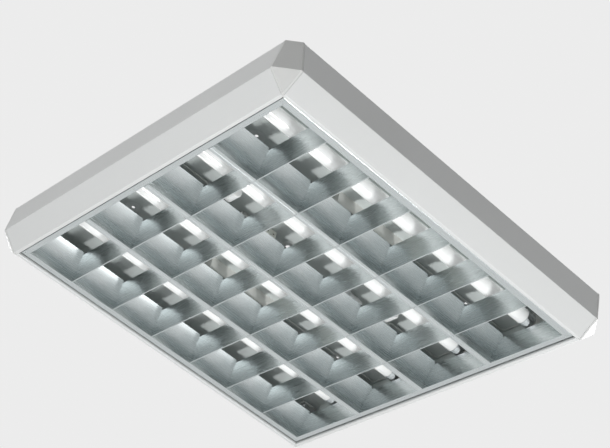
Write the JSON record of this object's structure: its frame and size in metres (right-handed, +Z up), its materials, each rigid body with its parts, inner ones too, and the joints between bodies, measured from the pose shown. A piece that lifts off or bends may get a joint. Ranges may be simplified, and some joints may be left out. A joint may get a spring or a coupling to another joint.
{
  "type": "surface-mounted louvre luminaire",
  "caption": "Square white ceiling luminaire with moulded corners and a hinged satin aluminium parabolic louvre below straight fluorescent lamps.",
  "frame": {"origin": "centre of the ceiling plane, in the middle of the four ceiling screws", "axes": "+Z up into the ceiling, +X along the lamps, +Y towards the louvre's hinge"},
  "size_m": [0.672, 0.672, 0.078],
  "materials": {
    "wall_paint": "semi-gloss powder coat",
    "tray_paint": "semi-gloss powder coat",
    "cap_plastic": "moulded, light satin",
    "louvre_aluminium": "anodised, satin mirror",
    "lamp_glass": "phosphor-coated, white",
    "lamp_cap_metal": "bright",
    "holder_plastic": "moulded",
    "plated_steel": "zinc plated",
    "spring_steel": "bright",
    "ballast_steel": "light enamel",
    "capacitor_case": "moulded",
    "starter_case": "moulded",
    "block_plastic": "moulded",
    "rubber": "matt"
  },
  "bodies": {
    "housing": {"back_tray": "tray_paint", "cable_grommet": "rubber", "side_wall_rear": "wall_paint", "side_wall_left": "wall_paint", "side_wall_front": "wall_paint", "side_wall_right": "wall_paint", "corner_cap_1": "cap_plastic", "corner_cap_2": "cap_plastic", "corner_cap_3": "cap_plastic", "corner_cap_4": "cap_plastic", "corner_screws": "plated_steel", "lampholder_bracket_right": "tray_paint", "lampholder_bracket_left": "tray_paint", "lampholders_1": "holder_plastic", "lampholders_2": "holder_plastic", "lampholders_3": "holder_plastic", "lampholders_4": "holder_plastic", "ballast_front": "ballast_steel", "ballast_rear": "ballast_steel", "capacitor": "capacitor_case", "capacitor_clip": "plated_steel", "terminal_block": "block_plastic", "starter_brackets": "tray_paint", "starter_holders": "holder_plastic", "hinge_arms": "plated_steel", "spring_catches": "spring_steel"},
    "louvre": {"louvre_side_rear": "louvre_aluminium", "louvre_side_front": "louvre_aluminium", "louvre_end_right": "louvre_aluminium", "louvre_end_left": "louvre_aluminium", "louvre_divider_1": "louvre_aluminium", "louvre_divider_2": "louvre_aluminium", "louvre_divider_3": "louvre_aluminium", "cross_blade_1": "louvre_aluminium", "cross_blade_2": "louvre_aluminium", "cross_blade_3": "louvre_aluminium", "cross_blade_4": "louvre_aluminium", "cross_blade_5": "louvre_aluminium", "cross_blade_6": "louvre_aluminium", "hinge_lugs": "plated_steel", "hinge_pins": "plated_steel"},
    "lamp_1": {"lamp_tube_1": "lamp_glass", "lamp_end_caps_1": "lamp_cap_metal", "lampholder_rotors_1": "holder_plastic"},
    "lamp_2": {"lamp_tube_2": "lamp_glass", "lamp_end_caps_2": "lamp_cap_metal", "lampholder_rotors_2": "holder_plastic"},
    "lamp_3": {"lamp_tube_3": "lamp_glass", "lamp_end_caps_3": "lamp_cap_metal", "lampholder_rotors_3": "holder_plastic"},
    "lamp_4": {"lamp_tube_4": "lamp_glass", "lamp_end_caps_4": "lamp_cap_metal", "lampholder_rotors_4": "holder_plastic"},
    "starter_body_1": {"starter_1": "starter_case"},
    "starter_body_2": {"starter_2": "starter_case"},
    "starter_body_3": {"starter_3": "starter_case"},
    "starter_body_4": {"starter_4": "starter_case"}
  },
  "joints": [
    {"name": "louvre_hinge", "type": "hinge", "parent": "housing", "child": "louvre", "pos_m": [0, 0.2955, -0.0703], "axis": [1, 0, 0], "range_deg": [0, 90]},
    {"name": "lamp_turn_1", "type": "hinge", "parent": "housing", "child": "lamp_1", "pos_m": [0, -0.213, -0.0175], "axis": [1, 0, 0], "range_deg": [0, 90]},
    {"name": "lamp_turn_2", "type": "hinge", "parent": "housing", "child": "lamp_2", "pos_m": [0, -0.071, -0.0175], "axis": [1, 0, 0], "range_deg": [0, 90]},
    {"name": "lamp_turn_3", "type": "hinge", "parent": "housing", "child": "lamp_3", "pos_m": [0, 0.071, -0.0175], "axis": [1, 0, 0], "range_deg": [0, 90]},
    {"name": "lamp_turn_4", "type": "hinge", "parent": "housing", "child": "lamp_4", "pos_m": [0, 0.213, -0.0175], "axis": [1, 0, 0], "range_deg": [0, 90]},
    {"name": "starter_turn_1", "type": "hinge", "parent": "housing", "child": "starter_body_1", "pos_m": [-0.17, 0, -0.0145], "axis": [0, -1, 0], "range_deg": [0, 45]},
    {"name": "starter_turn_2", "type": "hinge", "parent": "housing", "child": "starter_body_2", "pos_m": [-0.17, 0, -0.0145], "axis": [0, 1, 0], "range_deg": [0, 45]},
    {"name": "starter_turn_3", "type": "hinge", "parent": "housing", "child": "starter_body_3", "pos_m": [0.17, 0, -0.0145], "axis": [0, -1, 0], "range_deg": [0, 45]},
    {"name": "starter_turn_4", "type": "hinge", "parent": "housing", "child": "starter_body_4", "pos_m": [0.17, 0, -0.0145], "axis": [0, 1, 0], "range_deg": [0, 45]}
  ]
}
